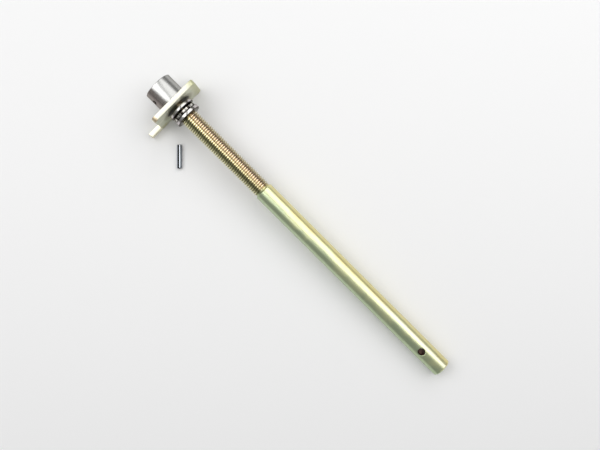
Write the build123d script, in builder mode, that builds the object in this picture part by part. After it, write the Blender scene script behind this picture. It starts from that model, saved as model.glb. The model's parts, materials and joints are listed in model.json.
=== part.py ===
from build123d import *
import math
import os

# A feed screw with its thrust bearing, thrust plate, collar and the loose spring pin.
# Millimetres. The screw lies as it comes to rest: the plate's lower edge and the rim
# of the plain end touch the floor, so its axis climbs a little towards the plate.
# Places along the screw are measured from the plain end.

# Screw, one turned bar
rod_diameter = 16.0
rod_length = 206.4
rod_end_chamfer = 1.0
shoulder_chamfer = 1.35
neck_length = 0.5
thread_diameter = 15.5
thread_pitch = 2.0
thread_depth = 1.15
thread_angle = 60.0
thread_crest_share = 1 / 6
ridge_foot = 0.1
thread_length = 84.55
journal_diameter = 10.0
journal_end_chamfer = 0.8
journal_setback = 0.5

# Cross hole near the plain end, leaning from upright towards the tab's side
handle_hole_diameter = 6.0
handle_hole_place = 23.2
handle_hole_lean = 17.5
handle_hole_break = 0.35

# Thrust ball bearing
bearing_diameter = 23.0
race_thickness = 2.9
race_edge_chamfer = 0.4
ball_diameter = 4.76
ball_count = 9
groove_depth = 0.25
groove_openness = 1.06
cage_thickness = 2.0
cage_wall = 0.3
cage_rim = 2.2
cage_offset = 0.4

# Thrust plate, a square with a tab low on one side. It stands off its ring by the gap.
plate_width = 45.0
plate_thickness = 4.2
plate_gap = 2.0
tab_reach = 12.0
tab_height = 8.5
tab_corner = 1.0
plate_corner = 3.5
tab_root_round = 0.8
plate_bore_break = 0.3

# Collar, a bored sleeve with a cross hole for the pin
collar_diameter = 25.0
collar_length = 19.8
collar_chamfer = 0.5
pin_hole_diameter = 4.0
pin_hole_from_plate = 10.7
pin_hole_lean = 67.0

# Spring pin, a slit tube, lying beside the screw on the tab's side
pin_diameter = 4.4
pin_wall = 0.85
pin_length = 20.0
pin_chamfer = 0.5
pin_slit = 0.9
pin_place = 278.9
pin_aside = 29.6
pin_heading = 45.0
pin_slit_lean = 5.0

# Clearances
running_clearance = 0.05
sliding_clearance = 0.02
axial_clearance = 0.1
loose_race_clearance = 0.5
pocket_clearance = 0.05

# Radii
rod_radius = rod_diameter / 2
thread_radius = thread_diameter / 2
root_radius = thread_radius - thread_depth
journal_radius = journal_diameter / 2
bearing_radius = bearing_diameter / 2
ball_radius = ball_diameter / 2
collar_radius = collar_diameter / 2
plate_half = plate_width / 2
pin_radius = pin_diameter / 2

# Places along the screw
neck_start = rod_length + shoulder_chamfer
thread_start = neck_start + neck_length
journal_start = thread_start + thread_length
race_gap = ball_diameter - 2 * groove_depth + 2 * running_clearance
screw_race_end = journal_start + race_thickness
ball_plane = screw_race_end + race_gap / 2
plate_race_start = screw_race_end + race_gap
plate_near = plate_race_start + race_thickness + plate_gap
plate_far = plate_near + plate_thickness
collar_start = plate_far + axial_clearance
collar_end = collar_start + collar_length
journal_end = collar_end - journal_setback
pin_hole_place = plate_far + pin_hole_from_plate

# Bearing rings
ball_circle = (journal_radius + bearing_radius) / 2
pocket_radius = ball_radius + pocket_clearance
groove_radius = ball_radius * groove_openness

# Resting pose: how far the axis climbs, and where the plain end's centre lies
climb = math.atan2(plate_half - rod_radius, plate_near - rod_end_chamfer)
rise = math.sin(climb)
level = math.cos(climb)
heading_sine = math.sin(math.radians(pin_heading))
heading_cosine = math.cos(math.radians(pin_heading))
pin_half_width = (pin_length / 2 - pin_chamfer) * heading_sine + pin_radius * heading_cosine
reach_front = (rod_radius - rod_end_chamfer) * rise
reach_back = collar_end * level + (collar_radius - collar_chamfer) * rise
end_x = (reach_back - reach_front) / 2
end_y = (pin_aside + pin_half_width - plate_half) / 2
end_z = rod_radius * level - rod_end_chamfer * rise

along = Vector(-level, 0, rise)
upward = Vector(rise, 0, level)
tab_side = Vector(0, -1, 0)
plain_end = Vector(end_x, end_y, end_z)
screw_axis = Axis(plain_end, along)
# A profile drawn here has x along the screw and y away from its axis
profile_plane = Plane(origin=plain_end, x_dir=along, z_dir=(0, 1, 0))


def across(place):
    """A plane across the screw: x towards the tab's side, y upwards."""
    return Plane(origin=plain_end + along * place, x_dir=tab_side, z_dir=along)


def through(place, lean):
    """A plane through the axis for a cross hole that leans towards the tab's side."""
    turn = math.radians(lean)
    direction = upward * math.cos(turn) + tab_side * math.sin(turn)
    return Plane(origin=plain_end + along * place, x_dir=along, z_dir=direction)


# Thread ridge: its section is drawn where the helix starts, x outwards and y along the screw
crest_half = thread_pitch * thread_crest_share / 2
foot_half = crest_half + thread_depth * math.tan(math.radians(thread_angle / 2))
ridge_start = plain_end + along * (thread_start + thread_pitch / 2)
with BuildPart() as thread_ridge:
    with BuildLine() as ridge_path:
        Helix(
            pitch=thread_pitch,
            height=thread_length - thread_pitch,
            radius=root_radius,
            center=ridge_start,
            direction=along,
        )
    path_start = ridge_path.line @ 0
    outwards = path_start - ridge_start
    with BuildSketch(Plane(origin=path_start, x_dir=outwards, z_dir=outwards.cross(along))):
        with BuildLine():
            Polyline(
                (-ridge_foot, -foot_half),
                (0, -foot_half),
                (thread_depth, -crest_half),
                (thread_depth, crest_half),
                (0, foot_half),
                (-ridge_foot, foot_half),
                close=True,
            )
        make_face()
    sweep(path=ridge_path.wires()[0], is_frenet=True)

# Screw: plain rod, shoulder, neck, thread and journal in one bar
with BuildPart() as feed_screw:
    with BuildSketch(profile_plane):
        with BuildLine():
            Polyline(
                (0, 0),
                (0, rod_radius - rod_end_chamfer),
                (rod_end_chamfer, rod_radius),
                (rod_length, rod_radius),
                (neck_start, rod_radius - shoulder_chamfer),
                (neck_start, root_radius),
                (journal_start, root_radius),
                (journal_start, journal_radius),
                (journal_end - journal_end_chamfer, journal_radius),
                (journal_end, journal_radius - journal_end_chamfer),
                (journal_end, 0),
                close=True,
            )
        make_face()
    revolve(axis=screw_axis)
    with BuildSketch(through(handle_hole_place, handle_hole_lean)):
        Circle(handle_hole_diameter / 2)
    extrude(amount=rod_diameter, both=True, mode=Mode.SUBTRACT)
    hole_faces = feed_screw.faces().filter_by(GeomType.CYLINDER)
    hole_face = hole_faces.sort_by(lambda face: face.radius)[0]
    chamfer(hole_face.edges().filter_by(GeomType.LINE, reverse=True), handle_hole_break)
    with BuildSketch(through(pin_hole_place, pin_hole_lean)):
        Circle(pin_hole_diameter / 2)
    extrude(amount=journal_diameter, both=True, mode=Mode.SUBTRACT)
    add(thread_ridge.part)
feed_screw.part.label = "feed_screw"


def race_ring(face_place, ball_side, bore_radius):
    """One bearing ring. Its grooved face lies at face_place, towards ball_side."""
    back_place = face_place - ball_side * race_thickness
    groove_place = face_place + ball_side * (groove_radius - groove_depth)
    with BuildPart() as ring:
        with BuildSketch(profile_plane):
            with BuildLine():
                Polyline(
                    (face_place, bore_radius),
                    (face_place, bearing_radius),
                    (back_place, bearing_radius),
                    (back_place, bore_radius),
                    close=True,
                )
            make_face()
            with Locations((groove_place, ball_circle)):
                Circle(groove_radius, mode=Mode.SUBTRACT)
        revolve(axis=screw_axis)
        outer_wall = ring.faces().filter_by(GeomType.CYLINDER).sort_by(lambda wall: wall.radius)[-1]
        chamfer(outer_wall.edges().filter_by(GeomType.CIRCLE), race_edge_chamfer)
    return ring


screw_race = race_ring(screw_race_end, 1, journal_radius + sliding_clearance)
screw_race.part.label = "screw_race"
plate_race = race_ring(plate_race_start, -1, journal_radius + loose_race_clearance)
plate_race.part.label = "plate_race"

# Cage: its pockets break out through the rim, so that the balls show from outside
with BuildPart() as ball_cage:
    with BuildSketch(across(ball_plane - cage_offset - cage_thickness / 2)):
        Circle(ball_circle + cage_rim)
        Circle(ball_circle - pocket_radius - cage_wall, mode=Mode.SUBTRACT)
        with PolarLocations(ball_circle, ball_count):
            Circle(pocket_radius, mode=Mode.SUBTRACT)
    extrude(amount=cage_thickness)
ball_cage.part.label = "ball_cage"

balls = []
for number in range(ball_count):
    turn = 2 * math.pi * number / ball_count
    outward = tab_side * math.cos(turn) + upward * math.sin(turn)
    centre = plain_end + along * ball_plane + outward * ball_circle
    with BuildPart(Plane(origin=centre, z_dir=along)) as ball:
        Sphere(ball_radius)
    ball.part.label = f"ball_{number + 1}"
    balls.append(ball)

# Thrust plate: the tab runs out flush with the lower edge
tab_root = (plate_half, tab_height - plate_half)
plate_middle = plain_end + along * (plate_near + plate_thickness / 2)
with BuildPart() as thrust_plate:
    with BuildSketch(across(plate_near)) as outline:
        with BuildLine():
            Polyline(
                (-plate_half, -plate_half),
                (plate_half + tab_reach, -plate_half),
                (plate_half + tab_reach, tab_height - plate_half),
                tab_root,
                (plate_half, plate_half),
                (-plate_half, plate_half),
                close=True,
            )
        make_face()
        fillet(outline.vertices().group_by(Axis.X)[-1], tab_corner)
        fillet(outline.vertices().sort_by_distance(tab_root)[0], tab_root_round)
        fillet(outline.vertices().group_by(Axis.X)[0], plate_corner)
        fillet(outline.vertices().sort_by(Axis.Y)[-1], plate_corner)
    extrude(amount=plate_thickness)
    with BuildSketch(across(plate_near)):
        Circle(journal_radius + running_clearance)
    extrude(amount=plate_thickness, mode=Mode.SUBTRACT)
    bore_wall = thrust_plate.faces().filter_by(GeomType.CYLINDER).sort_by_distance(plate_middle)[0]
    chamfer(bore_wall.edges().filter_by(GeomType.CIRCLE), plate_bore_break)
thrust_plate.part.label = "thrust_plate"

# Collar
with BuildPart() as collar:
    with BuildSketch(across(collar_start)):
        Circle(collar_radius)
    extrude(amount=collar_length)
    chamfer(collar.edges().filter_by(GeomType.CIRCLE), collar_chamfer)
    with BuildSketch(across(collar_start)):
        Circle(journal_radius + sliding_clearance)
    extrude(amount=collar_length, mode=Mode.SUBTRACT)
    with BuildSketch(through(pin_hole_place, pin_hole_lean)):
        Circle(pin_hole_diameter / 2)
    extrude(amount=collar_diameter, both=True, mode=Mode.SUBTRACT)
collar.part.label = "collar"

# Spring pin: the slit opens away from the screw
pin_along = Vector(-heading_cosine, heading_sine, 0)
pin_across = Vector(-heading_sine, -heading_cosine, 0)
pin_centre = Vector(end_x - pin_place, end_y - pin_aside, pin_radius)
slit_turn = math.radians(pin_slit_lean)
slit_way = Vector(0, 0, 1) * math.cos(slit_turn) + pin_across * math.sin(slit_turn)
pin_end_plane = Plane(origin=pin_centre - pin_along * pin_length / 2, x_dir=slit_way, z_dir=pin_along)
with BuildPart() as spring_pin:
    with BuildSketch(pin_end_plane):
        Circle(pin_radius)
    extrude(amount=pin_length)
    chamfer(spring_pin.edges().filter_by(GeomType.CIRCLE), pin_chamfer)
    with BuildSketch(pin_end_plane):
        Circle(pin_radius - pin_wall)
        Rectangle(pin_diameter, pin_slit, align=(Align.MIN, Align.CENTER))
    extrude(amount=pin_length, mode=Mode.SUBTRACT)
spring_pin.part.label = "spring_pin"

os.makedirs("parts", exist_ok=True)
pieces = [feed_screw, screw_race, plate_race, ball_cage, thrust_plate, collar, spring_pin]
for piece in pieces + balls:
    export_step(piece.part, f"parts/{piece.part.label}.step")
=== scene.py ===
import json
import math
import bmesh
import bpy
from mathutils import Euler, Matrix, Vector


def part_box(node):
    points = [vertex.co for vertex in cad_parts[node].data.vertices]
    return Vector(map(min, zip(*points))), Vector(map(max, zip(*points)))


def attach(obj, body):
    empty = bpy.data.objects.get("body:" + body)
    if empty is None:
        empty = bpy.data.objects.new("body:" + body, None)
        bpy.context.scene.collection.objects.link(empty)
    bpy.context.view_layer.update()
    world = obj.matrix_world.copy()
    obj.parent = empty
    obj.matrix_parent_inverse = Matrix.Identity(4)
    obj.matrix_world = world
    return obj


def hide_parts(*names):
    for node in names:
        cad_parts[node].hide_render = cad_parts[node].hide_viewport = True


# A feed screw with its thrust bearing, plate, collar and loose spring pin.
# Piece sizes are millimetres and degrees, measured along the screw from its plain end.
# Blender's own units are metres, so each mesh is scaled as it is put in its place.

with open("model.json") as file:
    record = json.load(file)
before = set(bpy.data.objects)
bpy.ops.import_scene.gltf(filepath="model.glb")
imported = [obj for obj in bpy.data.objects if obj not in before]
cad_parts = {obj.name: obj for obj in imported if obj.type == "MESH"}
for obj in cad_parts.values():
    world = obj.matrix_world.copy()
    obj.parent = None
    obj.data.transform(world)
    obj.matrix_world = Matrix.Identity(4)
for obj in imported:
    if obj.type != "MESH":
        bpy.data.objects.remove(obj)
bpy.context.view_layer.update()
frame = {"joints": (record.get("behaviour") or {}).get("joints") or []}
millimetre = 0.001

bar = {
    "rodDiameter": 16.0, "rodLength": 206.4, "endChamfer": 1.0, "shoulderChamfer": 1.35,
    "neckLength": 0.5, "edgeRound": 0.22, "segments": 72, "roundSteps": 4, "journalRoundSteps": 3,
    "threadDiameter": 15.5, "threadDepth": 1.15, "threadLength": 84.55, "pitch": 2.0,
    "journalDiameter": 10.0, "journalEnd": 328.56, "journalChamfer": 0.8,
}
handleHole = {"diameter": 6.0, "place": 23.2, "lean": 17.5, "lip": 0.6, "window": 5.0, "steps": 6}
journalHole = {"diameter": 4.0, "place": 319.86, "lean": 67.0, "lip": 0.0, "window": 3.4, "steps": 6}
# The ridge's middle starts half a pitch in, straight below the axis
threadForm = {"crestShare": 1 / 8, "rootShare": 7 / 16, "rowsPerTurn": 16, "ridgeTurn": -90.0}

rodRadius = bar["rodDiameter"] / 2
rootRadius = bar["threadDiameter"] / 2 - bar["threadDepth"]
neckStart = bar["rodLength"] + bar["shoulderChamfer"]
threadStart = neckStart + bar["neckLength"]
journalStart = threadStart + bar["threadLength"]


# Where the screw lies, from the joint it turns on and the plain end's rim
print("Stage: place of the screw")
turnJoint = next(joint for joint in frame["joints"] if joint["name"] == "screw_turn")
along = -Vector(turnJoint["axis"]).normalized()
tabSide = Vector((0, -1, 0))
upward = along.cross(tabSide)
endRim = (rodRadius - bar["endChamfer"]) * millimetre * upward.x
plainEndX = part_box("feed_screw")[1].x - endRim
axisPoint = Vector(turnJoint["pos_m"])
plainEnd = axisPoint + along * (plainEndX - axisPoint.x) / along.x

# Screw space has x along the screw, y towards the tab's side and z upward
screwTurn = Matrix((along, tabSide, upward)).transposed()
screwPlace = Matrix.Translation(plainEnd) @ screwTurn.to_4x4() @ Matrix.Scale(millimetre, 4)
# A flat outline is drawn with x towards the tab's side and y upward, and stands across the screw
standAcross = Matrix(((0, 0, 1), (1, 0, 0), (0, 1, 0))).to_4x4()


# Mesh tools

mergeReach = 0.002  # points nearer than this, in millimetres, become one


def roundCorners(corners, steps):
    # Each corner is x, y and the radius that rounds it
    points = []
    for index, (x, y, radius) in enumerate(corners):
        here = Vector((x, y))
        if radius == 0:
            points.append(here)
            continue
        toBefore = (Vector(corners[index - 1][:2]) - here).normalized()
        toAfter = (Vector(corners[(index + 1) % len(corners)][:2]) - here).normalized()
        halfAngle = toBefore.angle(toAfter) / 2
        middle = here + (toBefore + toAfter).normalized() * radius / math.sin(halfAngle)
        reach = radius / math.tan(halfAngle)
        firstArm = here + toBefore * reach - middle
        lastArm = here + toAfter * reach - middle
        # The turned arm comes back with a length of one
        points += [middle + firstArm.slerp(lastArm, step / steps) * radius for step in range(steps + 1)]
    return points


def circleLoop(radius, count, start=0.0):
    turns = [start + math.tau * index / count for index in range(count)]
    return [Vector((radius * math.cos(turn), radius * math.sin(turn))) for turn in turns]


def joinLoops(mesh, first, second, skip=()):
    count = len(first)
    for index in range(count):
        if index in skip:
            continue
        following = (index + 1) % count
        corners = [first[index], first[following], second[following], second[index]]
        corners = list(dict.fromkeys(corners))
        if len(corners) > 2:
            mesh.faces.new(corners)


def turnWall(mesh, rows, count, start, windows=(), closed=False):
    # Rows are place and radius; a window leaves out the faces where a cross hole goes
    rings = []
    for place, radius in rows:
        if radius == 0:
            rings.append([mesh.verts.new((place, 0, 0))] * count)
            continue
        points = circleLoop(radius, count, start)
        rings.append([mesh.verts.new((place, point.x, point.y)) for point in points])
    last = len(rings) if closed else len(rings) - 1
    for row in range(last):
        skip = set()
        for firstRow, column, steps in windows:
            if firstRow <= row < firstRow + 2 * steps:
                skip |= {(column + step) % count for step in range(-steps, steps)}
        joinLoops(mesh, rings[row], rings[(row + 1) % len(rings)], skip)
    return rings


def windowRows(hole, radius):
    steps = hole["steps"]
    places = [hole["place"] + hole["window"] * step / steps for step in range(-steps, steps + 1)]
    return [(place, radius, 0) for place in places]


holeMesh = {"closingLoops": 5, "lipSteps": 4}


def drillWall(mesh, rings, firstRow, column, side, wallRadius, hole, start):
    # Closes a window in from its edge to the hole's rim and gives back the rim
    steps = hole["steps"]
    centre = firstRow + steps
    edge = [(steps, step) for step in range(0, steps)]
    edge += [(-step, steps) for step in range(-steps, steps)]
    edge += [(-steps, -step) for step in range(-steps, steps)]
    edge += [(step, -steps) for step in range(-steps, steps)]
    edge += [(steps, step) for step in range(-steps, 0)]
    count = len(rings[0])
    outer = [rings[centre + row][(column + side * step) % count] for row, step in edge]
    stepTurn = math.tau / count
    radius = hole["diameter"] / 2
    lip = hole["lip"]
    outward = Vector((0, math.cos(start), math.sin(start)))
    sideways = Vector((0, -math.sin(start), math.cos(start)))
    middle = Vector((hole["place"], 0, 0))

    def rimPoint(index, reach, drop):
        turn = math.tau * index / len(edge)
        aside = reach * math.sin(turn)
        height = math.sqrt(wallRadius ** 2 - aside ** 2) - drop
        onward = Vector((reach * math.cos(turn), 0, 0))
        return middle + onward + sideways * aside + outward * side * height

    loops = [outer]
    for stage in range(1, holeMesh["closingLoops"] + 1):
        share = stage / holeMesh["closingLoops"]
        loop = []
        for index, (row, step) in enumerate(edge):
            turn = math.tau * index / len(edge)
            rimPlace = (radius + lip) * math.cos(turn)
            rimLean = math.asin((radius + lip) * math.sin(turn) / wallRadius)
            place = (1 - share) * hole["window"] * row / steps + share * rimPlace
            lean = (1 - share) * stepTurn * step + share * rimLean
            arm = sideways * math.sin(lean) + outward * side * math.cos(lean)
            loop.append(mesh.verts.new(middle + Vector((place, 0, 0)) + arm * wallRadius))
        loops.append(loop)
    lipSteps = holeMesh["lipSteps"] if lip else 0
    for stage in range(1, lipSteps + 1):
        turn = math.pi / 2 * stage / lipSteps
        reach = radius + lip * (1 - math.sin(turn))
        drop = lip * (1 - math.cos(turn))
        loops.append([mesh.verts.new(rimPoint(index, reach, drop)) for index in range(len(edge))])
    for first, second in zip(loops, loops[1:]):
        joinLoops(mesh, first, second)
    return loops[-1]


def drillThrough(mesh, rings, firstRow, wallRadius, hole, start):
    # A plain hole from one side of a solid bar to the other
    near = drillWall(mesh, rings, firstRow, 0, 1, wallRadius, hole, start)
    far = drillWall(mesh, rings, firstRow, len(rings[0]) // 2, -1, wallRadius, hole, start)
    joinLoops(mesh, near, far)


def slab(mesh, outlines, bottom, top, edgeRound, roundSteps):
    # A flat plate with rounded edges; the first outline is the rim and the others are holes
    edges = {bottom: [], top: []}
    for number, outline in enumerate(outlines):
        count = len(outline)
        inward = []
        for index in range(count):
            run = (outline[(index + 1) % count] - outline[index - 1]).normalized()
            inward.append(Vector((-run.y, run.x)) * (1 if number == 0 else -1))
        # Inset and height, up round the lower edge and in round the upper one
        turns = [math.pi / 2 * step / roundSteps for step in range(roundSteps + 1)]
        falls = [(edgeRound * (1 - math.sin(turn)), edgeRound * (1 - math.cos(turn))) for turn in turns]
        rows = [(inset, bottom + rise) for inset, rise in falls]
        rows += [(inset, top - rise) for rise, inset in falls]
        loops = []
        for inset, height in rows:
            points = [point + way * inset for point, way in zip(outline, inward)]
            loops.append([mesh.verts.new((point.x, point.y, height)) for point in points])
        for first, second in zip(loops, loops[1:]):
            joinLoops(mesh, first, second)
        for height, loop in ((bottom, loops[0]), (top, loops[-1])):
            edges[height] += [mesh.edges.get((loop[index - 1], loop[index])) for index in range(count)]
    for rim in edges.values():
        bmesh.ops.triangle_fill(mesh, use_beauty=True, use_dissolve=False, edges=rim)


def finishMesh(mesh, name, place, material, sharpAngle=32):
    # Makes one closed outward mesh, puts its place in its points and gives back the object
    loose = [vertex for vertex in mesh.verts if not vertex.link_faces]
    bmesh.ops.delete(mesh, geom=loose, context="VERTS")
    bmesh.ops.remove_doubles(mesh, verts=mesh.verts, dist=mergeReach)
    bmesh.ops.recalc_face_normals(mesh, faces=mesh.faces)
    data = bpy.data.meshes.new(name)
    mesh.to_mesh(data)
    mesh.free()
    data.transform(place)
    data.shade_smooth()
    data.set_sharp_from_angle(angle=math.radians(sharpAngle))
    data.materials.append(material)
    piece = bpy.data.objects.new(name, data)
    bpy.context.scene.collection.objects.link(piece)
    return piece


# Node tools

def put(tree, kind, inputs=None, **settings):
    node = tree.nodes.new(kind)
    for name, value in settings.items():
        setattr(node, name, value)
    for key, value in (inputs or {}).items():
        if isinstance(value, bpy.types.NodeSocket):
            tree.links.new(value, node.inputs[key])
        else:
            node.inputs[key].default_value = value
    return node


def calc(tree, operation, *values):
    return put(tree, "ShaderNodeMath", dict(enumerate(values)), operation=operation).outputs[0]


def away(tree, value, middle):
    return calc(tree, "ABSOLUTE", calc(tree, "SUBTRACT", value, middle))


def ramp(tree, value, low, high, first=0.0, last=1.0, smooth=True):
    kind = "SMOOTHSTEP" if smooth else "LINEAR"
    inputs = {"Value": value, "From Min": low, "From Max": high, "To Min": first, "To Max": last}
    return put(tree, "ShaderNodeMapRange", inputs, interpolation_type=kind).outputs["Result"]


def both(tree, first, firstFade, second, secondFade):
    # The share where two values are both past their fades
    return calc(tree, "MULTIPLY", ramp(tree, first, *firstFade), ramp(tree, second, *secondFade))


def blend(tree, share, first, second):
    # Sockets 6, 7 and 2 are the colour ones of a Mix node
    inputs = {0: share, 6: first, 7: second}
    return put(tree, "ShaderNodeMix", inputs, data_type="RGBA").outputs[2]


def noise(tree, vector, scale, detail=2.0, roughness=0.5, distortion=0.0):
    inputs = {"Vector": vector, "Scale": scale, "Detail": detail, "Roughness": roughness,
              "Distortion": distortion}
    return put(tree, "ShaderNodeTexNoise", inputs).outputs["Fac"]


def newTree(name, kind, inputs, outputs):
    tree = bpy.data.node_groups.new(name, kind)
    for label, socketKind, value in inputs:
        socket = tree.interface.new_socket(name=label, in_out="INPUT", socket_type=socketKind)
        if value is not None:
            socket.default_value = value
    for label, socketKind in outputs:
        tree.interface.new_socket(name=label, in_out="OUTPUT", socket_type=socketKind)
    return tree, tree.nodes.new("NodeGroupInput"), tree.nodes.new("NodeGroupOutput")


def useGroup(tree, group, vector, **values):
    inputs = {"Vector": vector, **values}
    return put(tree, "ShaderNodeGroup", inputs, node_tree=group).outputs


# Surface effects that several finishes share

def turnedPlacesGroup():
    # Place along the screw and distance from its axis in millimetres, and the side it faces
    tree, source, result = newTree(
        "turnedPlaces", "ShaderNodeTree", [("Vector", "NodeSocketVector", None)],
        [("Along", "NodeSocketFloat"), ("Radius", "NodeSocketFloat"), ("Turn", "NodeSocketFloat")])
    parts = put(tree, "ShaderNodeSeparateXYZ", {0: source.outputs["Vector"]}).outputs
    flat = put(tree, "ShaderNodeCombineXYZ", {1: parts[1], 2: parts[2]}).outputs[0]
    radius = put(tree, "ShaderNodeVectorMath", {0: flat}, operation="LENGTH").outputs["Value"]
    turn = calc(tree, "ARCTAN2", parts[2], parts[1])
    tree.links.new(parts[0], result.inputs["Along"])
    tree.links.new(radius, result.inputs["Radius"])
    tree.links.new(turn, result.inputs["Turn"])
    return tree


latheMarks = {"scaleRound": 0.08, "detail": 3.0, "roughness": 0.65}


def turnedLinesGroup():
    # Fine rings that a lathe leaves, broken up a little round the piece
    tree, source, result = newTree(
        "turnedLines", "ShaderNodeTree",
        [("Vector", "NodeSocketVector", None), ("Lines", "NodeSocketFloat", 6.0)],
        [("Height", "NodeSocketFloat")])
    parts = put(tree, "ShaderNodeSeparateXYZ", {0: source.outputs["Vector"]}).outputs
    fineAlong = calc(tree, "MULTIPLY", parts[0], source.outputs["Lines"])
    slowSide = calc(tree, "MULTIPLY", parts[1], latheMarks["scaleRound"])
    slowUp = calc(tree, "MULTIPLY", parts[2], latheMarks["scaleRound"])
    spread = put(tree, "ShaderNodeCombineXYZ", {0: fineAlong, 1: slowSide, 2: slowUp}).outputs[0]
    lines = noise(tree, spread, 1.0, latheMarks["detail"], latheMarks["roughness"])
    tree.links.new(lines, result.inputs["Height"])
    return tree


clouding = {
    "detail": 2.0, "distortion": 0.6, "fade": (0.32, 0.68),
    "mottleScale": 9.0, "mottleDetail": 4.0, "mottleRoughness": 0.6,
}


def platingDriftGroup():
    # Slow clouds in a chromate film, with a finer mottle in them
    tree, source, result = newTree(
        "platingDrift", "ShaderNodeTree",
        [("Vector", "NodeSocketVector", None), ("CloudSize", "NodeSocketFloat", 9.0)],
        [("Clouds", "NodeSocketFloat"), ("Mottle", "NodeSocketFloat")])
    vector = source.outputs["Vector"]
    scale = calc(tree, "DIVIDE", 1.0, source.outputs["CloudSize"])
    clouds = noise(tree, vector, scale, clouding["detail"], distortion=clouding["distortion"])
    fineScale = calc(tree, "MULTIPLY", scale, clouding["mottleScale"])
    mottle = noise(tree, vector, fineScale, clouding["mottleDetail"], clouding["mottleRoughness"])
    tree.links.new(ramp(tree, clouds, *clouding["fade"]), result.inputs["Clouds"])
    tree.links.new(mottle, result.inputs["Mottle"])
    return tree


handling = {
    "hairScale": (0.12, 1.9, 1.9), "hairTurn": (0.0, 0.05, 0.08), "hairDistortion": 0.4,
    "hairWidth": 0.006, "patchScale": 0.16, "patchFade": (0.5, 0.62),
    "speckScale": 1.7, "speckDetail": 3.0, "speckRoughness": 0.7, "speckFade": (0.66, 0.78),
}


def handlingGroup():
    # Hairline scratches along a piece and specks of dust and oil
    tree, source, result = newTree(
        "handlingMarks", "ShaderNodeTree",
        [("Vector", "NodeSocketVector", None), ("Amount", "NodeSocketFloat", 0.5)],
        [("Scratches", "NodeSocketFloat"), ("Specks", "NodeSocketFloat")])
    vector = source.outputs["Vector"]
    stretched = put(tree, "ShaderNodeMapping", {
        "Vector": vector, "Scale": handling["hairScale"], "Rotation": handling["hairTurn"]}).outputs[0]
    # A scratch runs where this noise passes its middle, and only in patches
    hairs = noise(tree, stretched, 1.0, detail=1.0, distortion=handling["hairDistortion"])
    patches = noise(tree, vector, handling["patchScale"], detail=1.0)
    lines = both(tree, away(tree, hairs, 0.5), (0.0, handling["hairWidth"], 1.0, 0.0),
                 patches, handling["patchFade"])
    scratches = calc(tree, "MULTIPLY", lines, source.outputs["Amount"])
    grains = noise(tree, vector, handling["speckScale"], handling["speckDetail"],
                   handling["speckRoughness"])
    specks = ramp(tree, grains, *handling["speckFade"])
    dust = calc(tree, "MULTIPLY", specks, source.outputs["Amount"])
    tree.links.new(scratches, result.inputs["Scratches"])
    tree.links.new(dust, result.inputs["Specks"])
    return tree


print("Stage: surface effects")
turnedPlaces = turnedPlacesGroup()
turnedLines = turnedLinesGroup()
platingDrift = platingDriftGroup()
handlingMarks = handlingGroup()


def newMaterial(name, origin=plainEnd, turn=screwTurn):
    # A material with a vector in millimetres on the piece's own axes
    material = bpy.data.materials.new(name)
    material.use_nodes = True
    tree = material.node_tree
    tree.nodes.clear()
    surface = put(tree, "ShaderNodeBsdfPrincipled")
    put(tree, "ShaderNodeOutputMaterial", {"Surface": surface.outputs[0]}, is_active_output=True)
    coordinates = put(tree, "ShaderNodeTexCoord").outputs["Object"]
    mapping = put(tree, "ShaderNodeMapping", {
        "Vector": coordinates, "Location": origin, "Rotation": turn.to_euler(),
        "Scale": (millimetre, millimetre, millimetre)}, vector_type="TEXTURE")
    return material, tree, surface, mapping.outputs[0]


def sideLean(tree, places, inner, outer):
    # 1 towards the tab's side and -1 away from it, and 0 in the middle of an end face
    rounded = ramp(tree, places["Radius"], inner, outer)
    return calc(tree, "MULTIPLY", calc(tree, "COSINE", places["Turn"]), rounded)


def tinted(tree, look, colour, value, steps):
    # Each step says where a colour starts, where it is full, and its name
    for low, high, name in look[steps]:
        colour = blend(tree, ramp(tree, value, low, high), colour, look[name])
    return colour


def striped(tree, look, colour, value, stripes):
    # Each stripe has its middle, where it starts to fade, where it ends, its strength and its colour
    for middle, fadeStart, fadeEnd, strength, name in look[stripes]:
        share = ramp(tree, away(tree, value, middle), fadeStart, fadeEnd, strength, 0.0)
        colour = blend(tree, share, colour, look[name])
    return colour


def marked(tree, look, colour, marks):
    # Lays on the scratches and specks that a look has a share for
    rows = (("Scratches", "scratchShare", "scratch"), ("Specks", "speckShare", "speck"))
    for output, share, name in rows:
        if share in look:
            strength = calc(tree, "MULTIPLY", marks[output], look[share])
            colour = blend(tree, strength, colour, look[name])
    return colour


def finishMetal(tree, surface, look, colour, rough, relief):
    # Relief is a height that the look's depth turns into millimetres
    tree.links.new(colour, surface.inputs["Base Color"])
    tree.links.new(rough, surface.inputs["Roughness"])
    surface.inputs["Metallic"].default_value = 1.0
    surface.inputs["Specular Tint"].default_value = look["edgeTint"]
    bumped = put(tree, "ShaderNodeBump", {"Height": relief, "Distance": look["depth"] * millimetre,
                                          "Strength": 1.0})
    tree.links.new(bumped.outputs[0], surface.inputs["Normal"])


def roughOver(tree, texture, look):
    # Most of a noise texture lies between these two values
    return ramp(tree, texture, 0.2, 0.8, *look["rough"])


# Geometry Nodes trees

def setInputs(modifier, values):
    for item in modifier.node_group.interface.items_tree:
        if item.item_type == "SOCKET" and item.in_out == "INPUT" and item.name in values:
            modifier[item.identifier] = values[item.name]


def grownMesh(name, tree, values):
    # Runs a tree on an empty mesh and gives back its result as a plain mesh
    holder = bpy.data.objects.new(name, bpy.data.meshes.new(name))
    bpy.context.scene.collection.objects.link(holder)
    modifier = holder.modifiers.new(name, "NODES")
    modifier.node_group = tree
    setInputs(modifier, values)
    graph = bpy.context.evaluated_depsgraph_get()
    data = bpy.data.meshes.new_from_object(holder.evaluated_get(graph))
    holder.modifiers.remove(modifier)
    bpy.data.objects.remove(holder)
    return data


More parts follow.
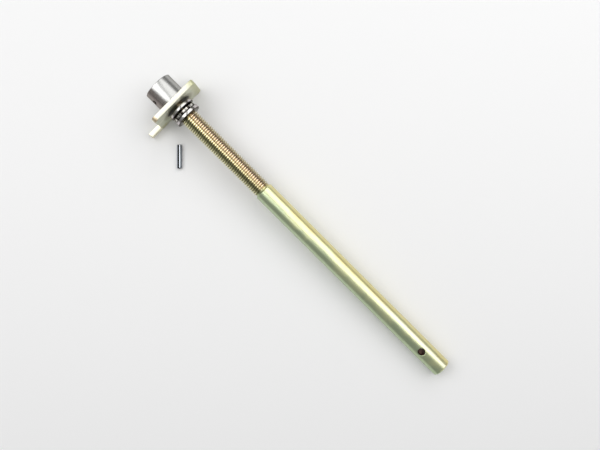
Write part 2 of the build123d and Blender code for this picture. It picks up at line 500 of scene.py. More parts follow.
def threadTree():
    sizes = [("Start", "NodeSocketFloat", 0.0), ("End", "NodeSocketFloat", 10.0),
             ("Pitch", "NodeSocketFloat", 2.0), ("Root Radius", "NodeSocketFloat", 5.0),
             ("Depth", "NodeSocketFloat", 1.0), ("Crest Share", "NodeSocketFloat", 0.1),
             ("Root Share", "NodeSocketFloat", 0.4), ("Rows Per Turn", "NodeSocketInt", 12),
             ("Segments", "NodeSocketInt", 72), ("Start Turn", "NodeSocketFloat", 0.0),
             ("Lead", "NodeSocketFloat", 0.0), ("Material", "NodeSocketMaterial", None)]
    tree, source, result = newTree(
        "threadRidge", "GeometryNodeTree", sizes, [("Geometry", "NodeSocketGeometry")])
    given = source.outputs
    span = calc(tree, "DIVIDE", calc(tree, "SUBTRACT", given["End"], given["Start"]), given["Pitch"])
    turns = calc(tree, "CEIL", calc(tree, "ADD", span, 2.0))
    rows = calc(tree, "MULTIPLY", turns, given["Rows Per Turn"])
    grid = put(tree, "GeometryNodeMeshGrid", {
        "Size X": 1.0, "Size Y": 1.0, "Vertices X": calc(tree, "ADD", rows, 1.0),
        "Vertices Y": calc(tree, "ADD", given["Segments"], 1.0)}).outputs["Mesh"]
    position = put(tree, "GeometryNodeInputPosition").outputs[0]
    parts = put(tree, "ShaderNodeSeparateXYZ", {0: position}).outputs
    climbed = calc(tree, "MULTIPLY", calc(tree, "ADD", parts[0], 0.5), turns)
    turned = calc(tree, "ADD", parts[1], 0.5)
    # How far this point is from the middle of a crest, as a share of the pitch
    fromCrest = away(tree, calc(tree, "FRACT", calc(tree, "ADD", climbed, 0.5)), 0.5)
    rise = ramp(tree, fromCrest, given["Root Share"], given["Crest Share"], smooth=False)
    steps = calc(tree, "SUBTRACT", calc(tree, "ADD", climbed, turned), 2.0)
    steps = calc(tree, "ADD", steps, given["Lead"])
    free = calc(tree, "MULTIPLY_ADD", steps, given["Pitch"], given["Start"])
    place = calc(tree, "MINIMUM", calc(tree, "MAXIMUM", free, given["Start"]), given["End"])
    ridge = calc(tree, "MULTIPLY", rise, given["Depth"])
    fromStart = calc(tree, "SUBTRACT", place, given["Start"])
    fromEnd = calc(tree, "SUBTRACT", given["End"], place)
    ridge = calc(tree, "MINIMUM", ridge, calc(tree, "MINIMUM", fromStart, fromEnd))
    radius = calc(tree, "ADD", ridge, given["Root Radius"])
    turn = calc(tree, "MULTIPLY_ADD", turned, math.tau, given["Start Turn"])
    aside = calc(tree, "MULTIPLY", radius, calc(tree, "COSINE", turn))
    above = calc(tree, "MULTIPLY", radius, calc(tree, "SINE", turn))
    bent = put(tree, "ShaderNodeCombineXYZ", {0: place, 1: aside, 2: above}).outputs[0]
    wrapped = put(tree, "GeometryNodeSetPosition", {"Geometry": grid, "Position": bent}).outputs[0]
    merged = put(tree, "GeometryNodeMergeByDistance", {
        "Geometry": wrapped, "Distance": mergeReach}).outputs[0]
    real = put(tree, "GeometryNodeRealizeInstances", {"Geometry": merged}).outputs[0]
    done = put(tree, "GeometryNodeSetMaterial", {"Geometry": real, "Material": given["Material"]})
    tree.links.new(done.outputs[0], result.inputs["Geometry"])
    return tree


def ballTree():
    sizes = [("Count", "NodeSocketInt", 9), ("Circle Radius", "NodeSocketFloat", 8.0),
             ("Ball Radius", "NodeSocketFloat", 2.5), ("Segments", "NodeSocketInt", 32),
             ("Rings", "NodeSocketInt", 16), ("Material", "NodeSocketMaterial", None)]
    tree, source, result = newTree(
        "ballRow", "GeometryNodeTree", sizes, [("Geometry", "NodeSocketGeometry")])
    given = source.outputs
    circle = put(tree, "GeometryNodeMeshCircle", {
        "Vertices": given["Count"], "Radius": given["Circle Radius"]}).outputs[0]
    ball = put(tree, "GeometryNodeMeshUVSphere", {
        "Segments": given["Segments"], "Rings": given["Rings"],
        "Radius": given["Ball Radius"]}).outputs["Mesh"]
    row = put(tree, "GeometryNodeInstanceOnPoints", {"Points": circle, "Instance": ball}).outputs[0]
    real = put(tree, "GeometryNodeRealizeInstances", {"Geometry": row}).outputs[0]
    done = put(tree, "GeometryNodeSetMaterial", {"Geometry": real, "Material": given["Material"]})
    tree.links.new(done.outputs[0], result.inputs["Geometry"])
    return tree


# Pieces and their finishes

barLook = {
    "gold": (0.80, 0.71, 0.33, 1), "pale": (0.75, 0.78, 0.46, 1), "green": (0.46, 0.56, 0.37, 1),
    "highlightCream": (0.80, 0.78, 0.60, 1), "holeShadeBrown": (0.20, 0.10, 0.09, 1),
    "crestDull": (0.76, 0.72, 0.56, 1), "crestPink": (0.93, 0.77, 0.56, 1),
    "crestYellow": (0.95, 0.88, 0.54, 1), "crestShadeOlive": (0.46, 0.46, 0.26, 1),
    "crestFloorReflection": (0.88, 0.85, 0.60, 1), "root": (0.52, 0.43, 0.26, 1),
    "rootShadeOlive": (0.32, 0.31, 0.17, 1), "shadeBrown": (0.36, 0.26, 0.18, 1),
    "highlightYellow": (1.0, 0.97, 0.74, 1), "scratch": (0.9, 0.9, 0.86, 1), "speck": (0.25, 0.22, 0.12, 1),
    "edgeTint": (0.89, 0.89, 0.88, 1),
    # Steps and stripes go by lean, which is 1 towards the tab's side and -1 away from it
    "filmShadingSteps": [(-0.55, 0.1, "pale"), (0.05, 0.95, "green")],
    # Crest and root colours by lean are partly painted light: darker olive as painted shade, paler
    # further round as a painted reflection of the floor
    "crestShadingSteps": [(-0.7, -0.45, "crestPink"), (-0.35, 0.15, "crestYellow"),
                   (0.13, 0.27, "crestShadeOlive"), (0.42, 0.7, "crestFloorReflection")],
    "rootShadeSteps": [(0.2, 0.45, "rootShadeOlive")],
    # Brown stripes of painted shade and a bright stripe of painted highlight
    "threadShadeAndHighlightStripes": [(-0.54, 0.0, 0.2, 0.9, "shadeBrown"), (-0.12, 0.0, 0.12, 0.42, "shadeBrown"),
                      (0.07, 0.0, 0.09, 0.75, "highlightYellow")],
    "highlightMiddle": -0.36, "highlightFade": (0.08, 0.3, 0.7, 0.0), "highlightAlong": (110.0, 50.0),
    "endFade": (3.0, 4.8), "threadFade": 0.3, "holeFade": 1.0, "holeDepths": (0.35, 0.9),
    "cloudSize": 16.0, "cloudPull": 0.5, "mottle": 0.2, "wear": 0.5, "scratchShare": 0.5,
    # Lathe lines to a millimetre, the relief's depth in millimetres, and roughness from and to
    "speckShare": 0.35, "lines": 5.0, "depth": 0.007,
    "rough": (0.29, 0.35), "threadRough": -0.1, "speckRough": 0.3,
}


def rodFilm(tree, look, places, drift, lean):
    # More golden away from the tab's side and greener towards it; partly the film's own colour and
    # partly painted light, with a paler top as painted highlight and a darker green on the tab's side
    # as painted shade
    drifted = calc(tree, "MULTIPLY_ADD", drift["Clouds"], look["cloudPull"], lean)
    film = tinted(tree, look, look["gold"], drifted, "filmShadingSteps")
    film = blend(tree, calc(tree, "MULTIPLY", drift["Mottle"], look["mottle"]), film, look["pale"])
    # Painted highlight: whiter in a stripe near the top, towards the plain end
    fromTop = away(tree, lean, look["highlightMiddle"])
    paintedHighlight = both(tree, fromTop, look["highlightFade"], places["Along"], look["highlightAlong"])
    film = blend(tree, paintedHighlight, film, look["highlightCream"])
    # Painted shade, brown, inside the cross hole
    reach = handleHole["diameter"]
    shallow, deep = look["holeDepths"]
    inHole = both(tree, away(tree, places["Along"], handleHole["place"]),
                  (reach, reach + look["holeFade"], 1.0, 0.0),
                  places["Radius"], (rodRadius - shallow, rodRadius - deep))
    return blend(tree, inHole, film, look["holeShadeBrown"])


def threadFilm(tree, look, places, lean):
    # Darker in the roots and lighter on the crests; colours by side and stripes along the thread are
    # painted light: olive painted shade towards the tab's side, a paler painted reflection of the floor
    # further round, brown stripes of painted shade and a yellow stripe of painted highlight
    height = ramp(tree, places["Radius"], rootRadius, bar["threadDiameter"] / 2)
    crest = tinted(tree, look, look["crestDull"], lean, "crestShadingSteps")
    root = tinted(tree, look, look["root"], lean, "rootShadeSteps")
    return striped(tree, look, blend(tree, height, root, crest), lean, "threadShadeAndHighlightStripes")


def platedBarFinish():
    look = barLook
    material, tree, surface, vector = newMaterial("platedBar")
    places = useGroup(tree, turnedPlaces, vector)
    drift = useGroup(tree, platingDrift, vector, CloudSize=look["cloudSize"])
    marks = useGroup(tree, handlingMarks, vector, Amount=look["wear"])
    lines = useGroup(tree, turnedLines, vector, Lines=look["lines"])["Height"]
    lean = sideLean(tree, places, *look["endFade"])
    inThread = ramp(tree, places["Along"], threadStart - look["threadFade"], threadStart, smooth=False)
    rod = rodFilm(tree, look, places, drift, lean)
    colour = blend(tree, inThread, rod, threadFilm(tree, look, places, lean))
    colour = marked(tree, look, colour, marks)
    rough = roughOver(tree, drift["Mottle"], look)
    rough = calc(tree, "MULTIPLY_ADD", inThread, look["threadRough"], rough)
    rough = calc(tree, "MULTIPLY_ADD", marks["Specks"], look["speckRough"], rough)
    finishMetal(tree, surface, look, colour, rough, lines)
    return material


def buildBar(material):
    mesh = bmesh.new()
    count = bar["segments"]
    soft = bar["edgeRound"]
    start = math.radians(90 - handleHole["lean"])
    endChamfer = bar["endChamfer"]
    corners = [(0, 0, 0), (0, rodRadius - endChamfer, soft), (endChamfer, rodRadius, soft)]
    corners += windowRows(handleHole, rodRadius)
    corners += [(bar["rodLength"], rodRadius, soft),
                (neckStart, rodRadius - bar["shoulderChamfer"], soft),
                (neckStart, rootRadius, 0), (threadStart, rootRadius, 0)]
    rows = roundCorners(corners, bar["roundSteps"])
    firstRow = rows.index(Vector((handleHole["place"] - handleHole["window"], rodRadius)))
    steps = handleHole["steps"]
    rings = turnWall(mesh, rows, count, start, [(firstRow, 0, steps), (firstRow, count // 2, steps)])
    drillThrough(mesh, rings, firstRow, rodRadius, handleHole, start)
    # How far round from the window's middle the ridge starts, as a share of a turn
    lead = (0.5 + (start - math.radians(threadForm["ridgeTurn"])) / math.tau) % 1
    mesh.from_mesh(grownMesh("threadRidge", threadTree(), {
        "Start": threadStart, "End": journalStart, "Pitch": bar["pitch"], "Root Radius": rootRadius,
        "Depth": bar["threadDepth"], "Crest Share": threadForm["crestShare"],
        "Root Share": threadForm["rootShare"], "Rows Per Turn": threadForm["rowsPerTurn"],
        "Segments": count, "Start Turn": start, "Lead": lead, "Material": material}))
    # The journal has its own cross hole, so its points are turned and joined to the nearest ones
    journalRadius = bar["journalDiameter"] / 2
    journalTurn = math.radians(90 - journalHole["lean"])
    shift = round((journalTurn - start) / math.tau * count) * math.tau / count
    rootRing = turnWall(mesh, [(journalStart, rootRadius)], count, start + shift)[0]
    end = bar["journalEnd"]
    chamfer = bar["journalChamfer"]
    corners = [(journalStart, journalRadius, 0)] + windowRows(journalHole, journalRadius)
    corners += [(end - chamfer, journalRadius, soft), (end, journalRadius - chamfer, soft), (end, 0, 0)]
    rows = roundCorners(corners, bar["journalRoundSteps"])
    steps = journalHole["steps"]
    rings = turnWall(mesh, rows, count, journalTurn, [(1, 0, steps), (1, count // 2, steps)])
    joinLoops(mesh, rootRing, rings[0])
    drillThrough(mesh, rings, 1, journalRadius, journalHole, journalTurn)
    return finishMesh(mesh, "screwBar", screwPlace, material)


bearing = {
    "diameter": 23.0, "raceThickness": 2.9, "raceEdge": 0.4, "screwBore": 5.02, "plateBore": 5.5,
    "screwRaceFace": 295.7, "plateRaceFace": 300.06, "grooveDepth": 0.25, "grooveRadius": 2.523,
    "ballDiameter": 4.76, "ballCount": 9, "ballCircle": 8.25, "ballPlane": 297.88,
    "cageThickness": 2.0, "cageRim": 2.2, "cageWall": 0.3, "cageOffset": 0.4, "pocketRadius": 2.43,
    "cageEdge": 0.14, "boreRound": 0.15, "segments": 120, "roundSteps": 5, "grooveSteps": 10,
    "pocketSteps": 24, "rimSteps": 10, "cageRoundSteps": 3, "ballSegments": 48, "ballRings": 24,
}
groundLook = {
    "dark": (0.50, 0.49, 0.475, 1), "light": (0.64, 0.63, 0.61, 1), "side": (0.36, 0.34, 0.32, 1),
    "sideFloorReflection": (0.66, 0.62, 0.63, 1), "rim": (0.07, 0.06, 0.05, 1), "speck": (0.2, 0.17, 0.13, 1),
    "edgeTint": (0.55, 0.54, 0.52, 1), "sideShadingSteps": [(0.4, 0.6, "side"), (0.65, 0.9, "sideFloorReflection")],
    "faceFade": (2.5, 1.0), "ringFaceShadeFade": (0.95, 1.25), "ringFaceShadeRadius": (8.5, 10.5),
    "wear": 0.5, "speckShare": 1.0, "lines": 9.0, "depth": 0.006, "rough": (0.12, 0.22),
}
cageLook = {
    "dark": (0.25, 0.24, 0.22, 1), "light": (0.80, 0.78, 0.73, 1), "edgeTint": (1, 1, 1, 1),
    "grainScale": 3.0, "grainDetail": 4.0, "blotScale": 0.45, "blotFade": (0.4, 0.6),
    "depth": 0.02, "rough": (0.25, 0.4),
}


def groundSteelFinish():
    look = groundLook
    material, tree, surface, vector = newMaterial("groundSteel")
    lines = useGroup(tree, turnedLines, vector, Lines=look["lines"])["Height"]
    marks = useGroup(tree, handlingMarks, vector, Amount=look["wear"])
    places = useGroup(tree, turnedPlaces, vector)
    colour = blend(tree, lines, look["dark"], look["light"])
    # Painted shade, darker, on both sides, and a paler painted reflection of the floor where they end
    outer = bearing["diameter"] / 2
    faceInner, faceOuter = look["faceFade"]
    lean = calc(tree, "ABSOLUTE", sideLean(tree, places, outer - faceInner, outer - faceOuter))
    colour = tinted(tree, look, colour, lean, "sideShadingSteps")
    # Painted shade, near black, on both faces of both rings out towards their rims
    ringMiddle = bearing["plateRaceFace"] + bearing["raceThickness"] / 2 - bearing["ballPlane"]
    fromRing = away(tree, away(tree, places["Along"], bearing["ballPlane"]), ringMiddle)
    ringFaceShade = both(tree, fromRing, look["ringFaceShadeFade"], places["Radius"], look["ringFaceShadeRadius"])
    colour = marked(tree, look, blend(tree, ringFaceShade, colour, look["rim"]), marks)
    finishMetal(tree, surface, look, colour, roughOver(tree, lines, look), lines)
    return material


def cageSteelFinish():
    look = cageLook
    material, tree, surface, vector = newMaterial("cageSteel")
    grain = noise(tree, vector, look["grainScale"], look["grainDetail"])
    blots = ramp(tree, noise(tree, vector, look["blotScale"]), *look["blotFade"])
    colour = blend(tree, blots, look["dark"], look["light"])
    finishMetal(tree, surface, look, colour, roughOver(tree, grain, look), grain)
    return material


def buildRace(name, facePlace, ballSide, bore, material):
    mesh = bmesh.new()
    back = facePlace - ballSide * bearing["raceThickness"]
    outer = bearing["diameter"] / 2
    reach = bearing["grooveRadius"]
    dip = reach - bearing["grooveDepth"]
    half = math.acos(dip / reach)
    steps = bearing["grooveSteps"]
    groove = []
    for step in range(steps + 1):
        turn = half * (2 * step / steps - 1)
        place = facePlace + ballSide * (dip - reach * math.cos(turn))
        groove.append((place, bearing["ballCircle"] + reach * math.sin(turn), 0))
    edge = bearing["raceEdge"]
    soft = bearing["boreRound"]
    corners = [(facePlace, bore, soft)] + groove
    corners += [(facePlace, outer, edge), (back, outer, edge), (back, bore, soft)]
    rows = roundCorners(corners, bearing["roundSteps"])
    turnWall(mesh, rows, bearing["segments"], 0.0, closed=True)
    return finishMesh(mesh, name, screwPlace, material)


def buildCage(material):
    mesh = bmesh.new()
    rim = bearing["ballCircle"] + bearing["cageRim"]
    circle = bearing["ballCircle"]
    pocket = bearing["pocketRadius"]
    mouth = math.acos((circle ** 2 + rim ** 2 - pocket ** 2) / (2 * circle * rim))
    lip = math.atan2(rim * math.sin(mouth), rim * math.cos(mouth) - circle)
    pitchTurn = math.tau / bearing["ballCount"]
    pocketSteps = bearing["pocketSteps"]
    rimSteps = bearing["rimSteps"]
    outline = []
    for number in range(bearing["ballCount"]):
        middle = pitchTurn * number
        centre = Vector((math.cos(middle), math.sin(middle))) * circle
        for step in range(pocketSteps + 1):
            turn = middle - lip - (math.tau - 2 * lip) * step / pocketSteps
            outline.append(centre + Vector((math.cos(turn), math.sin(turn))) * pocket)
        for step in range(1, rimSteps):
            turn = middle + mouth + (pitchTurn - 2 * mouth) * step / rimSteps
            outline.append(Vector((math.cos(turn), math.sin(turn))) * rim)
    inner = circleLoop(circle - pocket - bearing["cageWall"], bearing["segments"])
    bottom = bearing["ballPlane"] - bearing["cageOffset"] - bearing["cageThickness"] / 2
    top = bottom + bearing["cageThickness"]
    slab(mesh, [outline, inner], bottom, top, bearing["cageEdge"], bearing["cageRoundSteps"])
    return finishMesh(mesh, "ballCage", screwPlace @ standAcross, material)


def buildBalls(material):
    mesh = bmesh.new()
    mesh.from_mesh(grownMesh("ballRow", ballTree(), {
        "Count": bearing["ballCount"], "Circle Radius": bearing["ballCircle"],
        "Ball Radius": bearing["ballDiameter"] / 2, "Segments": bearing["ballSegments"],
        "Rings": bearing["ballRings"], "Material": material}))
    place = screwPlace @ standAcross @ Matrix.Translation((0, 0, bearing["ballPlane"]))
    return finishMesh(mesh, "bearingBalls", place, material, sharpAngle=80)


plate = {
    "width": 45.0, "thickness": 4.2, "near": 304.96, "tabReach": 12.0, "tabHeight": 8.5,
    "corner": 3.5, "tabCorner": 1.0, "tabRoot": 0.8, "bore": 5.05, "edgeRound": 0.35, "segments": 96,
    "cornerSteps": 12, "edgeReflectionSteps": 4,
}
# Aside is towards the tab and up is upward, both in millimetres from the screw's axis
plateLook = {
    "green": (0.60, 0.63, 0.48, 1), "pale": (0.80, 0.79, 0.66, 1), "gold": (0.52, 0.52, 0.30, 1),
    "cornerShade": (0.54, 0.42, 0.26, 1), "tab": (0.90, 0.86, 0.68, 1), "innerFaceShade": (0.10, 0.09, 0.07, 1),
    "outerFaceShade": (0.34, 0.33, 0.21, 1), "scratch": (0.9, 0.9, 0.86, 1), "edgeTint": (1, 1, 1, 1),
    "topHighlightSteps": [(21.8, 22.4, "pale")], "farShadeSteps": [(-13.0, -20.0, "gold")],
    "tabSteps": [(23.0, 24.5, "tab")], "cornerShadeAside": (19.0, 20.5), "cornerShadeUp": (19.5, 22.0),
    "rootAside": (15.0, 20.0), "rootUp": (-9.0, -15.0), "asideDrift": 2.0, "mottle": 0.3,
    "faceFade": (0.2, 0.5), "outerFaceShadeFade": (14.0, 19.0, 0.7, 0.0), "innerFaceShadeFade": (12.2, 13.2, 1.0, 0.0),
    "spreadDrift": 1.5, "cloudSize": 14.0, "wear": 0.7, "scratchShare": 0.5,
    "grainScale": 2.2, "grainDetail": 5.0, "grainRoughness": 0.65,
    "depth": 0.03, "rough": (0.34, 0.48),
}


def plateFilm(tree, look, drift, aside, up):
    # Pale along the top edge as painted highlight, and golden away from the tab as painted shade
    film = blend(tree, drift["Clouds"], look["green"], look["pale"])
    film = tinted(tree, look, film, up, "topHighlightSteps")
    film = tinted(tree, look, film, aside, "farShadeSteps")
    # Painted shade, orange-brown, at the top corner over the tab; golden beside the tab's root and
    # cream on the tab
    shadedCorner = both(tree, aside, look["cornerShadeAside"], up, look["cornerShadeUp"])
    film = blend(tree, shadedCorner, film, look["cornerShade"])
    rootward = both(tree, aside, look["rootAside"], up, look["rootUp"])
    film = blend(tree, rootward, film, look["gold"])
    film = tinted(tree, look, film, aside, "tabSteps")
    return blend(tree, calc(tree, "MULTIPLY", drift["Mottle"], look["mottle"]), film, look["pale"])


def platedPlateFinish():
    look = plateLook
    material, tree, surface, vector = newMaterial("platedPlate")
    places = useGroup(tree, turnedPlaces, vector)
    drift = useGroup(tree, platingDrift, vector, CloudSize=look["cloudSize"])
    marks = useGroup(tree, handlingMarks, vector, Amount=look["wear"])
    parts = put(tree, "ShaderNodeSeparateXYZ", {0: vector}).outputs
    aside = calc(tree, "MULTIPLY_ADD", drift["Mottle"], look["asideDrift"], parts[1])
    film = plateFilm(tree, look, drift, aside, parts[2])
    # Painted shade round the bearing, on the face next to it: near black close to the bearing and olive
    # further out
    shallow, deep = look["faceFade"]
    onFace = (plate["near"] + shallow, plate["near"] + deep, 1.0, 0.0)
    spread = calc(tree, "MULTIPLY_ADD", drift["Mottle"], look["spreadDrift"], places["Radius"])
    for fade, name in (("outerFaceShadeFade", "outerFaceShade"), ("innerFaceShadeFade", "innerFaceShade")):
        share = both(tree, places["Along"], onFace, spread, look[fade])
        film = blend(tree, share, film, look[name])
    film = marked(tree, look, film, marks)
    grain = noise(tree, vector, look["grainScale"], look["grainDetail"], look["grainRoughness"])
    finishMetal(tree, surface, look, film, roughOver(tree, drift["Mottle"], look), grain)
    return material


def buildPlate(material):
    mesh = bmesh.new()
    half = plate["width"] / 2
    corner = plate["corner"]
    tabCorner = plate["tabCorner"]
    tabEnd = half + plate["tabReach"]
    tabTop = plate["tabHeight"] - half
    outline = roundCorners([
        (-half, -half, corner), (tabEnd, -half, tabCorner), (tabEnd, tabTop, tabCorner),
        (half, tabTop, plate["tabRoot"]), (half, half, corner), (-half, half, corner)],
        plate["cornerSteps"])
    bore = circleLoop(plate["bore"], plate["segments"])
    near = plate["near"]
    far = near + plate["thickness"]
    slab(mesh, [outline, bore], near, far, plate["edgeRound"], plate["edgeReflectionSteps"])
    return finishMesh(mesh, "thrustPlate", screwPlace @ standAcross, material)


collar = {
    "diameter": 25.0, "length": 19.8, "start": 309.26, "bore": 5.02, "edgeRound": 0.5,
    "boreRound": 0.2, "segments": 120, "roundSteps": 5,
}
# The pin's hole as it goes through the outer wall and through the bore
collarHole = {"diameter": 4.0, "place": 319.86, "lean": 67.0, "lip": 0.12, "window": 3.4, "steps": 5}
boreHole = dict(collarHole, lip=0.0, steps=8)
collarLook = {
    "dark": (0.52, 0.52, 0.505, 1), "light": (0.62, 0.62, 0.605, 1), "far": (0.47, 0.47, 0.455, 1),
    "near": (0.37, 0.34, 0.32, 1), "shadeBand": (0.23, 0.20, 0.19, 1), "stainShade": (0.40, 0.33, 0.28, 1),
    "darkReflectionLine": (0.22, 0.22, 0.21, 1), "speck": (0.26, 0.22, 0.18, 1), "edgeTint": (0.5, 0.48, 0.46, 1),
    "sideShadingSteps": [(-0.1, -0.28, "far"), (0.3, 0.5, "near")],
    "shadeBands": [(0.73, 0.04, 0.16, 0.9, "shadeBand")], "darkReflectionStripes": [(-0.72, 0.0, 0.13, 0.7, "darkReflectionLine")],
    "faceFade": (2.0, 0.7), "stainFade": (0.5, 0.72), "stainShadeLean": (0.1, 0.8),
    "stainStretch": (0.06, 0.55, 0.55), "stainDetail": 3.0, "wear": 0.6, "speckShare": 1.0,
    "lines": 4.0, "depth": 0.008, "rough": (0.24, 0.33),
}


def turnedSteelFinish():
    look = collarLook
    material, tree, surface, vector = newMaterial("turnedSteel")
    places = useGroup(tree, turnedPlaces, vector)
    lines = useGroup(tree, turnedLines, vector, Lines=look["lines"])["Height"]
    marks = useGroup(tree, handlingMarks, vector, Amount=look["wear"])
    stretched = put(tree, "ShaderNodeMapping", {"Vector": vector, "Scale": look["stainStretch"]})
    stains = noise(tree, stretched.outputs[0], 1.0, look["stainDetail"])
    outer = collar["diameter"] / 2
    faceInner, faceOuter = look["faceFade"]
    lean = sideLean(tree, places, outer - faceInner, outer - faceOuter)
    # Painted shade: a little darker away from the tab's side and darker towards it, with a band of
    # painted shade and brown stains there, kept to that side as painted shade too, and a line of
    # painted dark reflection opposite
    colour = blend(tree, lines, look["dark"], look["light"])
    colour = tinted(tree, look, colour, lean, "sideShadingSteps")
    colour = striped(tree, look, colour, lean, "shadeBands")
    stainsAndShade = both(tree, stains, look["stainFade"], lean, look["stainShadeLean"])
    colour = blend(tree, stainsAndShade, colour, look["stainShade"])
    colour = striped(tree, look, colour, lean, "darkReflectionStripes")
    colour = marked(tree, look, colour, marks)
    finishMetal(tree, surface, look, colour, roughOver(tree, lines, look), lines)
    return material


def buildCollar(material):
    mesh = bmesh.new()
    count = collar["segments"]
    outer = collar["diameter"] / 2
    start = math.radians(90 - collarHole["lean"])
    end = collar["start"] + collar["length"]
    soft = collar["edgeRound"]
    boreSoft = collar["boreRound"]
    rows = roundCorners(
        [(collar["start"], collar["bore"], boreSoft), (collar["start"], outer, soft)]
        + windowRows(collarHole, outer) + [(end, outer, soft), (end, collar["bore"], boreSoft)]
        + windowRows(boreHole, collar["bore"])[::-1], collar["roundSteps"])
    outerRow = rows.index(Vector((collarHole["place"] - collarHole["window"], outer)))
    boreRow = len(rows) - 2 * boreHole["steps"] - 1
    windows = [(outerRow, 0, collarHole["steps"]), (outerRow, count // 2, collarHole["steps"]),
               (boreRow, 0, boreHole["steps"]), (boreRow, count // 2, boreHole["steps"])]
    rings = turnWall(mesh, rows, count, start, windows, closed=True)
    # The bore's rows run back towards the plate, so they are turned round for drilling
    turnedRings = rings[:boreRow] + rings[boreRow:][::-1]
    for column, side in ((0, 1), (count // 2, -1)):
        outside = drillWall(mesh, rings, outerRow, column, side, outer, collarHole, start)
        inside = drillWall(mesh, turnedRings, boreRow, column, side, collar["bore"], boreHole, start)
        matched = [inside[round(index * len(inside) / len(outside))] for index in range(len(outside))]
        bridgeLoops(mesh, outside, inside, matched)
    return finishMesh(mesh, "pinCollar", screwPlace, material)


def bridgeLoops(mesh, few, many, matched):
    # Joins two rims of a hole that have different numbers of points
    for index in range(len(few)):
        following = (index + 1) % len(few)
        first = many.index(matched[index])
        last = many.index(matched[following])
        between = []
        step = first
        while step != last:
            between.append(many[step])
            step = (step + 1) % len(many)
        between.append(many[last])
        mesh.faces.new([few[following], few[index]] + between)


pin = {
    "diameter": 4.4, "wall": 0.85, "length": 20.0, "chamfer": 0.5, "edgeRound": 0.15, "slit": 0.9,
    "heading": 45.0, "slitLean": 5.0, "segments": 48, "roundSteps": 3,
}
pinLook = {
    "grey": (0.62, 0.66, 0.70, 1), "light": (0.74, 0.78, 0.82, 1), "flankShade": (0.20, 0.22, 0.25, 1),
    "inside": (0.03, 0.03, 0.04, 1), "scratch": (0.8, 0.82, 0.85, 1), "edgeTint": (1, 1, 1, 1),
    "highlightStreak": 0.35, "highlightStreakFade": (0.4, 0.7), "edgeReflectionSteps": [(-1.3, -1.8, "grey")],
    "insideShadeFade": (0.15, 0.35), "grainScale": 1.4, "grainDetail": 4.0, "wear": 0.5,
    "scratchShare": 1.0, "depth": 0.003, "rough": (0.14, 0.2),
}

pinLow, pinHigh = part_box("spring_pin")
pinTurn = math.radians(pin["heading"])
pinAlong = Vector((-math.cos(pinTurn), math.sin(pinTurn), 0))
pinAcross = Vector((-math.sin(pinTurn), -math.cos(pinTurn), 0))
slitTurn = math.radians(pin["slitLean"])
slitWay = Vector((0, 0, 1)) * math.cos(slitTurn) + pinAcross * math.sin(slitTurn)
pinMiddle = (pinLow + pinHigh) / 2
pinMiddle.z = pin["diameter"] / 2 * millimetre
# Pin space has x out through the slit and z along the pin
pinFacing = Matrix((slitWay, pinAlong.cross(slitWay), pinAlong)).transposed()


def springSteelFinish(origin, turn):
    look = pinLook
    material, tree, surface, vector = newMaterial("springSteel", origin, turn)
    marks = useGroup(tree, handlingMarks, vector, Amount=look["wear"])
    grain = noise(tree, vector, look["grainScale"], look["grainDetail"])
    parts = put(tree, "ShaderNodeSeparateXYZ", {0: vector}).outputs
    flat = put(tree, "ShaderNodeCombineXYZ", {0: parts[0], 1: parts[1]}).outputs[0]
    radius = put(tree, "ShaderNodeVectorMath", {0: flat}, operation="LENGTH").outputs["Value"]
    colour = blend(tree, grain, look["grey"], look["light"])
    # A painted highlight streak with painted shade, dark blue, on both flanks of it, a grey painted
    # reflection at one edge, and painted shade, black, inside
    flankShade = ramp(tree, away(tree, parts[1], look["highlightStreak"]), *look["highlightStreakFade"])
    colour = blend(tree, flankShade, colour, look["flankShade"])
    colour = tinted(tree, look, colour, parts[1], "edgeReflectionSteps")
    shallow, deep = [pin["diameter"] / 2 - depth for depth in look["insideShadeFade"]]
    colour = blend(tree, ramp(tree, radius, shallow, deep), colour, look["inside"])
    colour = marked(tree, look, colour, marks)
    finishMetal(tree, surface, look, colour, roughOver(tree, grain, look), grain)
    return material


def buildPin(material):
    mesh = bmesh.new()
    outer = pin["diameter"] / 2
    inner = outer - pin["wall"]
    half = pin["length"] / 2
    chamfer = pin["chamfer"]
    count = pin["segments"]
    soft = pin["edgeRound"]
    corners = [(0, outer, 0), (half - chamfer, outer, soft), (half, outer - chamfer, soft),
               (half, inner, 0)]
    endRows = roundCorners(corners, pin["roundSteps"])[1:-1]
    rows = [(-place, radius) for place, radius in endRows[::-1]] + endRows
    loops = []
    for place, radius in rows:
        loop = []
        for wall, ways in ((radius, range(count + 1)), (inner, range(count, -1, -1))):
            gap = math.asin(pin["slit"] / 2 / wall)
            for step in ways:
                turn = gap + (math.tau - 2 * gap) * step / count
                loop.append(mesh.verts.new((wall * math.cos(turn), wall * math.sin(turn), place)))
        loops.append(loop)
    for first, second in zip(loops, loops[1:]):
        joinLoops(mesh, first, second)
    for loop in (loops[0], loops[-1]):
        for step in range(count):
            mesh.faces.new((loop[step], loop[step + 1], loop[-2 - step], loop[-1 - step]))
    place = Matrix.Translation(pinMiddle) @ pinFacing.to_4x4() @ Matrix.Scale(millimetre, 4)
    return finishMesh(mesh, "slitPin", place, material)


def settle(piece, body, slot, *nodes):
    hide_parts(*nodes)
    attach(piece, body)


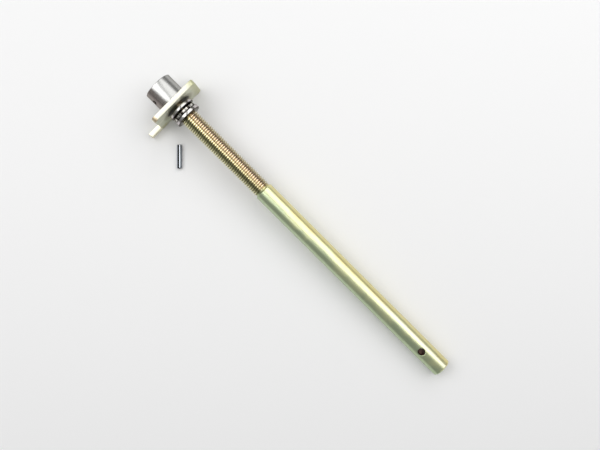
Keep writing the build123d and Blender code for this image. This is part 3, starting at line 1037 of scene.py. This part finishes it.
print("Stage: pieces")
groundSteel = groundSteelFinish()
settle(buildBar(platedBarFinish()), "screw", "yellow_zinc", "feed_screw")
settle(buildRace("screwRace", bearing["screwRaceFace"], 1, bearing["screwBore"], groundSteel),
       "screw", "bearing_steel", "screw_race")
settle(buildRace("plateRace", bearing["plateRaceFace"], -1, bearing["plateBore"], groundSteel),
       "plate", "bearing_steel", "plate_race")
settle(buildCage(cageSteelFinish()), "cage", "cage_steel", "ball_cage")
ballNodes = [f"ball_{number + 1}" for number in range(bearing["ballCount"])]
settle(buildBalls(groundSteel), "cage", "bearing_steel", *ballNodes)
settle(buildPlate(platedPlateFinish()), "plate", "yellow_zinc_plate", "thrust_plate")
settle(buildCollar(turnedSteelFinish()), "screw", "bare_steel", "collar")
settle(buildPin(springSteelFinish(pinMiddle, pinFacing)), "plate", "spring_steel", "spring_pin")


# Camera, floor and light

stage = {
    "cameraPlace": (0.02227, 0.015094, 0.705724), "cameraTurn": (1.02674, 1.75320, 44.89292),
    "lens": 50.5, "sensor": 36.0, "nearest": 0.01, "floorReach": 12.0, "floorTone": 0.90,
    "floorRough": 0.9, "floorGloss": 0.2, "lampTurn": 45.0, "roomSides": (-0.6, 0.6),
    "roomStrength": (0.345, 0.305),
}
lamps = {
    "rightBox": {"place": (-0.093, 1.155, 1.0), "size": (1.46, 2.04), "power": 15.9},
    "leftBox": {"place": (-0.688, -0.325, 1.0), "size": (1.07, 0.98), "power": 6.9},
}


def setCamera():
    data = bpy.data.cameras.new("camera")
    data.lens = stage["lens"]
    data.sensor_fit = "HORIZONTAL"
    data.sensor_width = stage["sensor"]
    data.clip_start = stage["nearest"]
    camera = bpy.data.objects.new("camera", data)
    camera.location = stage["cameraPlace"]
    camera.rotation_euler = Euler([math.radians(turn) for turn in stage["cameraTurn"]])
    bpy.context.scene.collection.objects.link(camera)
    bpy.context.scene.camera = camera


def setFloor():
    reach = stage["floorReach"]
    corners = [(-reach, -reach, 0), (reach, -reach, 0), (reach, reach, 0), (-reach, reach, 0)]
    data = bpy.data.meshes.new("floor")
    data.from_pydata(corners, [], [(0, 1, 2, 3)])
    floor = bpy.data.objects.new("floor", data)
    bpy.context.scene.collection.objects.link(floor)
    material = bpy.data.materials.new("paleFloor")
    material.use_nodes = True
    surface = material.node_tree.nodes["Principled BSDF"]
    tone = stage["floorTone"]
    surface.inputs["Base Color"].default_value = (tone, tone, tone, 1)
    surface.inputs["Roughness"].default_value = stage["floorRough"]
    surface.inputs["Specular IOR Level"].default_value = stage["floorGloss"]
    data.materials.append(material)


def setLamps():
    for name, lamp in lamps.items():
        data = bpy.data.lights.new(name, "AREA")
        data.shape = "RECTANGLE"
        data.size, data.size_y = lamp["size"]
        data.energy = lamp["power"]
        light = bpy.data.objects.new(name, data)
        light.location = lamp["place"]
        light.rotation_euler.z = math.radians(stage["lampTurn"])
        bpy.context.scene.collection.objects.link(light)


def setWorld():
    world = bpy.data.worlds.new("room")
    world.use_nodes = True
    bpy.context.scene.world = world
    tree = world.node_tree
    tree.nodes.clear()
    way = put(tree, "ShaderNodeTexCoord").outputs["Generated"]
    parts = put(tree, "ShaderNodeSeparateXYZ", {0: way}).outputs
    # The room is a little brighter on the tab's side
    strength = ramp(tree, parts[1], *stage["roomSides"], *stage["roomStrength"])
    room = put(tree, "ShaderNodeBackground", {"Color": (1, 1, 1, 1), "Strength": strength})
    put(tree, "ShaderNodeOutputWorld", {"Surface": room.outputs[0]})


print("Stage: camera, floor and light")
setCamera()
setFloor()
setLamps()
setWorld()
bpy.context.scene.view_settings.view_transform = "Standard"
